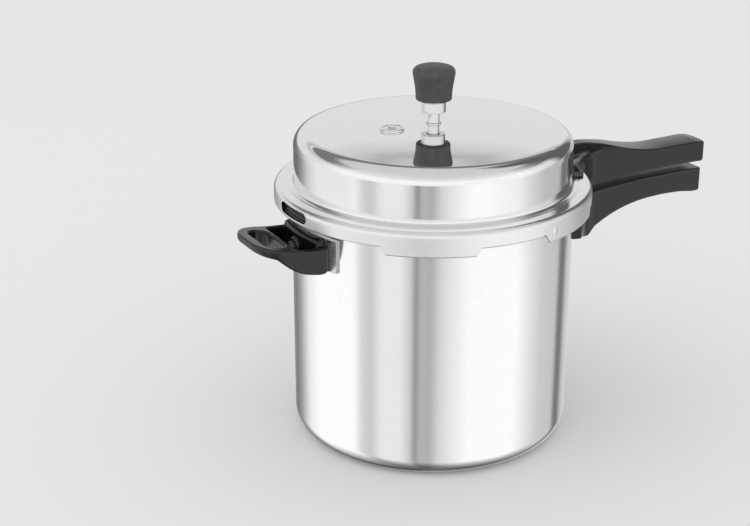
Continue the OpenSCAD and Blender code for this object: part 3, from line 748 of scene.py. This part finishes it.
def lid():
    """Pressed lid with a polished crowned top, a skirt with locking tabs and turned-in lugs, a slot
    that lets the gasket out and a stop dimple."""
    outside, inside = lid_outside(), lid_inside()

    def outline_at(angle):
        edge = hem(angle)
        down = [(SKIRT_R, BEND_TOP + (edge[0][1] - BEND_TOP) * f) for f in SKIRT_FALLS]
        up = [(SKIRT_IN, edge[-1][1] + (INNER_BEND_TOP - edge[-1][1]) * f) for f in 1 - SKIRT_FALLS[::-1]]
        return stopped(outside + down + edge + up + inside, angle)

    spans = beside_lugs(TAB_HALF - 0.6, 2.2, 0.3)
    spans += [(STOP_ANGLE, 2.5, 0.2), (NOTCH_ANGLE + 0.7, 2.5, 0.2),
              (WINDOW_ANGLE, WINDOW_WIDTH / 2 + 3, 0.9)]
    angles = fine_angles(spans)

    # the patch of skirt round the window is left out of the grid, on both faces of the sheet
    near = [j for j, a in enumerate(angles) if apart(a, WINDOW_ANGLE) < WINDOW_WIDTH / 2 + 1.6]
    near.sort(key=lambda j: (angles[j] - WINDOW_ANGLE + 180) % 360)
    top, low = len(outside) - PATCH_RISE, len(outside) + len(SKIRT_FALLS) - 1
    rows, columns = low - top, len(near) - 1
    low_in = len(outline_at(0.0)) - len(inside) - len(SKIRT_FALLS)
    top_in = low_in + rows

    def keep(row, column):
        return column not in near[:-1] or not (top <= row < low or low_in <= row < top_in)

    bm = bmesh.new()
    # a layer marking the window's cut side for painted shade
    bm.verts.layers.float.new("painted_edge_shade")
    grid = turned_grid(bm, outline_at, angles, True, keep)
    square = [(0, c) for c in range(columns)] + [(r, columns) for r in range(rows)]
    square += [(rows, c) for c in range(columns, 0, -1)] + [(r, 0) for r in range(rows, 0, -1)]
    loops = [[grid[near[c]][top + r] for r, c in square]]
    loops += window_loops(bm, square, rows, columns)
    loops.append([grid[near[c]][top_in - r] for r, c in square])
    for one, two in zip(loops, loops[1:]):
        for k in range(len(one)):
            m = (k + 1) % len(one)
            bm.faces.new((one[k], one[m], two[m], two[k]))
    add_piece("lid_shell_polished", mesh_of(bm, "lid_shell_polished"), "lid", "lid_aluminium", "lid_shell")


def gasket():
    """Moulded ring with a channel on its inner side and two beads on its outer face."""
    low, high = cad("gasket")
    r0, r1, z0, z1 = 108.0, high.x, low.z, high.z
    face, lip, waist = r1 - 0.2, 2.4, (z0 + z1) / 2
    channel = r1 - lip - 0.6
    outline = fillet([(r0, z0, 0.8), (face, z0, 1.4), (face, waist - 1.4, 0.6), (face - 0.5, waist, 0.6),
                      (face, waist + 1.4, 0.6), (face, z1, 2.6), (r0, z1, 0.8),
                      (r0 + 0.6, z1 - lip, 0.5), (channel, z1 - lip, 1.0),
                      (channel, z0 + lip, 1.0), (r0 + 0.6, z0 + lip, 0.5)], closed=True, steps=4)
    mesh = lathe("gasket_ring", braced(outline, True), True, 180)
    add_piece("gasket_ring", mesh, "lid", "rubber", "gasket")


# ---------- vent tube, weight and safety plug ----------

def vent_tube():
    """Bored tube with a flange on the lid and a narrower tip that the weight sits on."""
    under = cad("vent_tube")[0].z
    bore, flange_r, flange_top = 1.6, 5.8, LID_TOP + 0.9
    outline = fillet([(bore, under, 0), (TUBE_R - 0.6, under, 0), (TUBE_R, under + 0.6, 0.2),
                      (TUBE_R, LID_TOP - 0.4, 0), (flange_r, LID_TOP - 0.4, 0), (flange_r, flange_top, 0.4),
                      (TUBE_R + 0.2, flange_top, 0.25), (TUBE_R, flange_top + 0.7, 0.3),
                      (TUBE_R, TUBE_TIP - 2, 0.5), (2.9, TUBE_TIP, 0.4), (bore, TUBE_TIP, 0.2)], True, 3)
    mesh = lathe("vent_tube_turned", braced(outline, True), True, 96)
    add_piece("vent_tube_turned", mesh, "lid", "polished_steel", "vent_tube")


def weight():
    """Turned steel weight with a collar under its cap, bored to sit on the vent tube."""
    bore, seat = TUBE_R + 0.45, TUBE_TIP + 0.1
    top = cad("weight_body")[1].z
    pin, stem, collar = 1.3, 8.0, WEIGHT_R + 0.45
    outline = fillet([(pin, top, 0), (stem, top, 0.5), (stem, CAP_Z, 0), (collar, CAP_Z, 0.3),
                      (collar, CAP_Z - 1.3, 0.4), (WEIGHT_R, CAP_Z - 1.5, 0.3),
                      (WEIGHT_R, WEIGHT_Z + 0.3, 0), (WEIGHT_R - 0.7, WEIGHT_Z, 0.3),
                      (bore + 0.5, WEIGHT_Z, 0.2), (bore, WEIGHT_Z + 0.5, 0.2),
                      (bore, seat, 0), (pin, seat, 0)], True, 3)
    mesh = lathe("weight_turned", braced(outline, True), True, 96)
    add_piece("weight_turned", mesh, "weight", "polished_steel", "weight_body")


def weight_cap():
    """Moulded cap that swells towards its rounded top, with a socket for the weight's stem."""
    side = bezier([(CAP_LOW_R, CAP_Z + 1.8), (CAP_LOW_R + 0.2, CAP_Z + 10), (CAP_R - 1, CAP_WIDE_Z - 7),
                   (CAP_R, CAP_WIDE_Z - 0.6)]).tolist()
    crest = bezier([(CAP_R, CAP_WIDE_Z + 0.4), (CAP_R - 0.4, CAP_WIDE_Z + 3.6),
                    (CAP_R - 2.6, CAP_TOP - 1.2), (8.5, CAP_TOP - 0.35)]).tolist()
    foot = fillet([(CAP_LOW_R - 3, CAP_Z, 0), (CAP_LOW_R - 0.1, CAP_Z, 1.1), (CAP_LOW_R, CAP_Z + 1.8, 0)])
    socket = [(0, CAP_Z + 18), (8.05, CAP_Z + 18), (8.05, CAP_Z + 0.4), (8.6, CAP_Z)]
    outline = socket + foot + side[1:] + crest + [(4, CAP_TOP - 0.06), (0, CAP_TOP)]
    add_piece("weight_cap_moulded", lathe("weight_cap_moulded", outline), "weight", "cap_bakelite",
              "weight_cap")


def on_plug(mesh):
    """Moves a mesh turned about the origin to the safety plug's place on the lid."""
    tilt = math.asin(PLUG_R / DOME_R)
    height = LID_TOP - DOME_R * (1 - math.cos(tilt))
    turn = Matrix.Rotation(math.radians(PLUG_ANGLE), 4, "Z")
    shift = Matrix.Translation((PLUG_R * MM, 0, height * MM))
    mesh.transform(turn @ shift @ Matrix.Rotation(tilt, 4, "Y"))
    return mesh


def safety_plug():
    """Flanged plug with a low raised rim."""
    rim, hole = PLUG_FLANGE - 1.5, FUSE_R
    outline = fillet([(hole, PLUG_UNDER, 0), (5.0, PLUG_UNDER, 0.5), (5.0, 0, 0), (PLUG_FLANGE, 0, 0.2),
                      (PLUG_FLANGE, 1.6, 0.7), (rim, 1.6, 0.5), (rim - 0.8, 1.35, 0.5),
                      (4.8, 1.35, 0.3), (4.2, 1.5, 0.3), (3.2, 1.5, 0.2), (hole, 1.35, 0)], True, 3)
    mesh = on_plug(lathe("safety_plug_flange", braced(outline, True, 0.2), True))
    add_piece("safety_plug_flange", mesh, "lid", "plug_metal", "safety_plug_body")


def fuse():
    """Fusible core that fills the plug's hole, with a low rounded top."""
    outline = fillet([(0, PLUG_UNDER, 0), (FUSE_R, PLUG_UNDER, 0), (FUSE_R, 1.4, 0.3), (1.6, 1.5, 1.0),
                      (0, 1.52, 0)], False, 3)
    mesh = on_plug(lathe("safety_plug_fuse", outline))
    add_piece("safety_plug_fuse", mesh, "lid", "fusible_alloy", "safety_plug_core")


# ---------- handles ----------

def grip_plan(tip):
    """Half width of a long handle along X: wings at the root, a waist and a swelling tip."""
    wing = bezier([(103, ROOT_HALF), (113, 42), (124, 21), (GRIP_START, GRIP_HALF)], 24)
    hand = bezier([(GRIP_START, GRIP_HALF), (200, GRIP_HALF - 0.4), (225, GRIP_HALF),
                   (tip + 6, GRIP_HALF + 1)], 24)
    return joined((93, ROOT_HALF - 5), wing, hand[1:])


def grip_sides(s, y, tip):
    """Signed distance from the upright sides of a long handle, with its tip's corners rounded."""
    return round_max(above(grip_plan(tip), s, np.abs(y)), s - tip, 4.0)


def lid_handle_top(s, across, z, ridge_half, ridge_top):
    """Signed distance from the top of the upper long handle: a spine, and near the lid a hollow between
    the spine and a ridge on each side."""
    spine_z = 212.0
    spine = joined((80, 211), bezier([(128, 211), (160, 211), (180, 197.7), (215, 197.5)], 24),
                   (LID_TIP - 8, 197.8), (LID_TIP + 4, 196.6))
    rounding = 0.9 * (across / GRIP_HALF) ** 2 * np.clip((s - 150) / 30, 0, 1)
    to_ridge = across / ridge_half
    hollow = 4.0 * np.clip((146 - s) / 30, 0, 1) * np.exp(-((to_ridge - 0.62) / 0.24) ** 2)
    blend = np.clip((to_ridge - 0.25) / 0.75, 0, 1)
    dished = 0.8 * (z - (spine_z + (ridge_top - spine_z) * blend - hollow))
    return round_max(above(spine, s, z + rounding), dished, 1.5)


def lid_handle_shape(s, y, z):
    """Upper long handle: its winged root sits on the lid's flange, against the wall."""
    across = np.abs(y)
    belly = joined((80, 174.3), bezier([(122, 174.3), (160, 176.5), (190, 181), (LID_TIP - 3, 179.7)], 24),
                   (LID_TIP + 4, 180.4))
    ridge = bezier([(95, 46), (112, 30), (130, 18), (152, 12.6)], 20)
    ridge_half = np.interp(s, ridge[:, 0], ridge[:, 1])
    ridge_top = np.interp(s, [95, 104, 120, 136, 152], [210.6, 209.0, 206.2, 204.6, 204.0])
    top = lid_handle_top(s, across, z, ridge_half, ridge_top)

    # at the root the sides lean in, from the plan's outline on the flange to the ridge
    plan = grip_plan(LID_TIP)
    spare = np.maximum(np.interp(s, plan[:, 0], plan[:, 1]) - ridge_half, 0)
    lean = spare * np.clip((z - FLANGE_Z) / (ridge_top - FLANGE_Z), 0, 1.3)
    sides = grip_sides(s, across + lean, LID_TIP) / (1 + 0.03 * spare)
    body = round_max(round_max(sides, top, 1.3), -above(belly, s, z), 1.3)

    radius = np.hypot(s, y)
    flange = np.maximum(radius - SKIRT_R, z - FLANGE_Z)
    lid_face = round_min(radius - LID_WALL_R, flange, FLANGE_BEND)
    body = np.maximum(body, HANDLE_GAP - lid_face)
    screw = np.maximum(np.hypot(s - LID_SCREW_X, y) - 5, z - LID_HEAD_Z)
    return round_max(body, -screw, 0.6)


def pot_handle_shape(s, y, z):
    """Lower long handle: its winged root hugs the pot's wall under the rim."""
    across = np.abs(y)
    back = joined((80, 170), bezier([(128, 170), (160, 170.5), (185, 175.5), (POT_TIP, 173.8)], 24),
                  (POT_TIP + 4, 173.3))
    belly = joined((80, 133.6), bezier([(138, 133.6), (165, 152), (190, 158), (235, 155.6)], 24),
                   (POT_TIP - 8, 153.8), (POT_TIP + 4, 154))
    keel = joined((0, 130), bezier([(12, 130), (22, 138), (34, 149.5), (ROOT_HALF + 1, 150.5)], 16))
    wings = [(0, 181), (16, 180), (ROOT_HALF + 1, 168)]
    top = round_max(above(back, s, z), above(wings, across, z), 2)
    low = round_max(-above(belly, s, z), -above(keel, across, z), 2.5)
    body = round_max(round_max(grip_sides(s, y, POT_TIP), top, 1.2), low, 1.6)
    body = np.maximum(body, POT_R + 0.3 - np.hypot(s, y))
    screw = np.maximum(np.hypot(s - POT_SCREW_X, y) - 5.5, z - POT_HEAD_Z)
    return round_max(body, -screw, 0.8)


def helper_recess(s, across, floor):
    """Signed distance from the box-shaped screw recess, with round corners. floor is the height
    over its bottom."""
    middle, half_length, half_width, corner = 120.8, 8.6, 27.2, 3.0
    u, v = np.abs(s - middle) - half_length + corner, across - half_width + corner
    recess = np.hypot(np.maximum(u, 0), np.maximum(v, 0)) + np.minimum(np.maximum(u, v), 0) - corner
    return round_max(recess, -floor, 2.5)


def helper_shape(x, y, z):
    """Looped handle: a finger hole at the tip, a screw recess behind it and a raised back."""
    s, across = -x, np.abs(y)
    top = joined((90, 173.5), bezier([(100, 173.5), (130, 173.5), (145, 178), (HELPER_TIP + 2, 180.2)], 20))
    low = joined((90, 163), (104, 160), bezier([(105, 156), (108, 152.5), (112, 153), (116, 154)], 8),
                 bezier([(117, 154.2), (130, 156), (138, 163.6), (144.5, 169.5)], 16),
                 bezier([(145, 169.9), (148, 171.5), (152, 171.2), (HELPER_TIP + 2, 175)], 8))
    plan = round_max(across - HELPER_HALF, s - HELPER_TIP, HELPER_CORNER)
    body = round_max(round_max(plan, above(top, s, z), 1.5), -above(low, s, z), 1.8)

    hole_half, hole_r, hole_x = 12.5, 8, HELPER_TIP - 17
    hole = np.hypot(np.maximum(across - hole_half, 0), s - hole_x) - hole_r
    body = round_max(body, -hole, 1.8)
    body = round_max(body, -helper_recess(s, across, above(low, s, z - 4.0)), 1.1)

    radius = np.hypot(s, y)
    back = round_max(np.abs(radius - 113.2) - 4.6, z - 180, 3.4)
    back = round_max(np.maximum(back, 158 - z), across - 26.5, 4.2)
    pad = np.maximum(np.hypot(y, z - HELPER_SCREW_Z) - 7, np.abs(s - 116) - 3.5)
    body = round_min(round_min(body, back, 1.5), pad, 0.8)
    return np.maximum(body, HELPER_SEAT - radius)


def handles():
    """The three moulded handles."""
    for name, shape, body, node, cell in (
            ("lid_handle_moulded", lid_handle_shape, "lid", "lid_handle", 1.0),
            ("pot_handle_moulded", pot_handle_shape, "pot", "pot_handle", 1.0),
            ("helper_handle_moulded", helper_shape, "pot", "helper_handle", 0.7)):
        add_piece(name, implicit(name, shape, *cad(node), cell), body, "bakelite", node)


def keep_cad_nodes():
    """Gives the small metal parts whose CAD shape is right their finish."""
    for part in frame["record"]["subparts"]:
        node = frame["nodes"][part["node"]]
        if not node.hide_render:
            for held in node.material_slots:
                held.material = materials[part["material_slot"]]


pot()
lid()
gasket()
vent_tube()
weight()
weight_cap()
safety_plug()
fuse()
handles()
keep_cad_nodes()


# ---------- studio ----------

VIEW_TURN = math.radians(31.2)      # how far the handles are turned away from the picture plane
CAMERA_DISTANCE, CAMERA_HEIGHT = 1.1039, 0.5647
CAMERA_YAW, CAMERA_PITCH = math.radians(-2.291), math.radians(21.455)
LENS = 72.66


def from_picture(x, y):
    """A level direction given as (right, away) in the picture, in the object's own frame."""
    c, s = math.cos(VIEW_TURN), math.sin(VIEW_TURN)
    return x * c + y * s, -x * s + y * c


def camera():
    """Camera in front of the cooker and a little above it, turned slightly to the left."""
    made = bpy.data.objects.new("camera", bpy.data.cameras.new("camera"))
    scene.collection.objects.link(made)
    ahead = from_picture(math.sin(CAMERA_YAW) * math.cos(CAMERA_PITCH),
                         math.cos(CAMERA_YAW) * math.cos(CAMERA_PITCH))
    made.location = (*from_picture(0, -CAMERA_DISTANCE), CAMERA_HEIGHT)
    made.rotation_mode = "QUATERNION"
    made.rotation_quaternion = Vector((*ahead, -math.sin(CAMERA_PITCH))).to_track_quat("-Z", "Y")
    made.data.sensor_width = 36
    made.data.lens = LENS
    scene.camera = made


def floor():
    """Plain pale floor, left out of the metal's reflections."""
    bm = bmesh.new()
    bmesh.ops.create_grid(bm, x_segments=8, y_segments=8, size=12)
    mesh = bpy.data.meshes.new("floor")
    bm.to_mesh(mesh)
    bm.free()
    made = bpy.data.objects.new("floor", mesh)
    scene.collection.objects.link(made)
    paint, tree, shader = new_material("floor_paint", roughness=0.9)
    shader.inputs["Base Color"].default_value = (0.785, 0.785, 0.785, 1)
    shader.inputs["Specular IOR Level"].default_value = 0.0
    mesh.materials.append(paint)
    made.visible_glossy = False


def at(degrees):
    """Place on a ramp round the tent of a turn from the camera's side, positive to the right."""
    return 0.5 + degrees / 360


def tent_walls(tree, turn, height):
    """Brightness of the tent below eye level, round the cooker, with dark gaps between its panels."""
    panels = ramp(tree, turn, [
        (at(-180), 0.7), (at(-170), 0.3), (at(-150), 0.22), (at(-137), 0.4), (at(-121), 0.9),
        (at(-106), 1.1), (at(-66), 1.1), (at(-58), 0.74), (at(-50), 0.64), (at(-40), 0.9), (at(-24), 0.9),
        (at(-16), 0.66), (at(-12), 0.26), (at(-8), 0.52), (at(0), 0.46), (at(8), 0.74), (at(18), 0.9),
        (at(32), 1.08), (at(74), 1.1), (at(88), 0.86), (at(103), 0.66), (at(124), 0.6), (at(131), 0.2),
        (at(138), 0.2), (at(148), 0.6), (at(180), 0.75)])
    tops = ramp(tree, turn, [
        (at(-170), 0.7), (at(-110), 0.8), (at(-72), 0.8), (at(-60), 0.95), (at(-45), 1.0), (at(40), 1.0),
        (at(58), 0.93), (at(80), 0.83), (at(100), 0.84), (at(125), 0.86), (at(150), 0.9)])
    down = ramp(tree, math_node(tree, "MULTIPLY", height, -1.0), [
        (0.0, 1.0), (0.62, 1.0), (0.8, 0.6), (0.97, 0.2)])
    upper = spread(tree, height, -0.352, -0.338, 0.0, 1.0)
    return scaled(tree, scaled(tree, panels, down), mixed(tree, upper, (1, 1, 1, 1), tops))


def tent_roof(tree, facing, height):
    """Brightness of the tent above eye level, behind the cooker and in front of it."""
    behind = ramp(tree, height, [
        (0.0, 0.78), (0.36, 0.78), (0.41, 0.64), (0.436, 0.45), (0.444, 0.57), (0.475, 0.73), (0.488, 0.73),
        (0.496, 0.2), (0.70, 0.2), (0.77, 0.64), (1.0, 0.66)])
    front = ramp(tree, height, [(0.0, 1.0), (0.25, 1.04), (0.5, 0.84), (0.8, 0.70), (1.0, 0.66)])
    return mixed(tree, facing, behind, front)


def tent_flag(tree, turn, height):
    """How far a dark flag, standing behind the cooker to the right, covers the tent."""
    sides = ramp(tree, turn, [(at(112), 0.0), (at(124), 1.0), (at(150), 1.0), (at(160), 0.0)])
    ends = ramp(tree, height, [(0.0, 0.0), (0.04, 1.0), (0.86, 1.0), (0.92, 0.0)])
    return scaled(tree, sides, ends)


def world():
    """Soft white tent with darker gaps, seen in the metal, and a plain pale background."""
    made = bpy.data.worlds.new("studio")
    scene.world = made
    made.use_nodes = True
    tree = made.node_tree
    way = add(tree, "TexCoord").outputs["Generated"]
    right, toward = from_picture(1, 0), from_picture(0, -1)
    across = add(tree, "VectorMath", {0: way, 1: (*right, 0)}, operation="DOT_PRODUCT").outputs["Value"]
    ahead = add(tree, "VectorMath", {0: way, 1: (*toward, 0)}, operation="DOT_PRODUCT").outputs["Value"]
    turn = spread(tree, math_node(tree, "ARCTAN2", across, ahead), -math.pi, math.pi, 0.0, 1.0)
    height = add(tree, "SeparateXYZ", {0: way}).outputs[2]
    facing = spread(tree, ahead, -0.25, 0.25, 0.0, 1.0)

    walls = tent_walls(tree, turn, height)
    roof = tent_roof(tree, facing, height)
    lifted = math_node(tree, "ADD", height, math_node(tree, "MULTIPLY", facing, 0.2))
    tent = mixed(tree, spread(tree, lifted, -0.03, 0.1, 0.0, 1.0), walls, roof)
    tent = mixed(tree, tent_flag(tree, turn, height), tent, (0.12, 0.12, 0.12, 1))

    in_metal = add(tree, "LightPath").outputs["Is Glossy Ray"]
    background = tree.nodes["Background"]
    tree.links.new(mixed(tree, in_metal, (0.99, 0.99, 0.99, 1), tent), background.inputs["Color"])
    background.inputs["Strength"].default_value = 1.0


def soft_light(name, place_from, size, power):
    """Large soft panel aimed at the middle of the cooker, unseen in the metal."""
    lamp = bpy.data.lights.new(name, "AREA")
    lamp.shape = "SQUARE"
    lamp.size = size
    lamp.energy = power
    made = bpy.data.objects.new(name, lamp)
    scene.collection.objects.link(made)
    made.location = place_from
    aim = Vector((0, 0, 0.1)) - Vector(place_from)
    made.rotation_mode = "QUATERNION"
    made.rotation_quaternion = aim.to_track_quat("-Z", "Y")
    made.visible_glossy = False
    made.visible_camera = False


camera()
floor()
world()
soft_light("key_panel", (*from_picture(-1.2, -0.9), 1.9), 1.8, 3.4)
scene.view_settings.view_transform = "Standard"
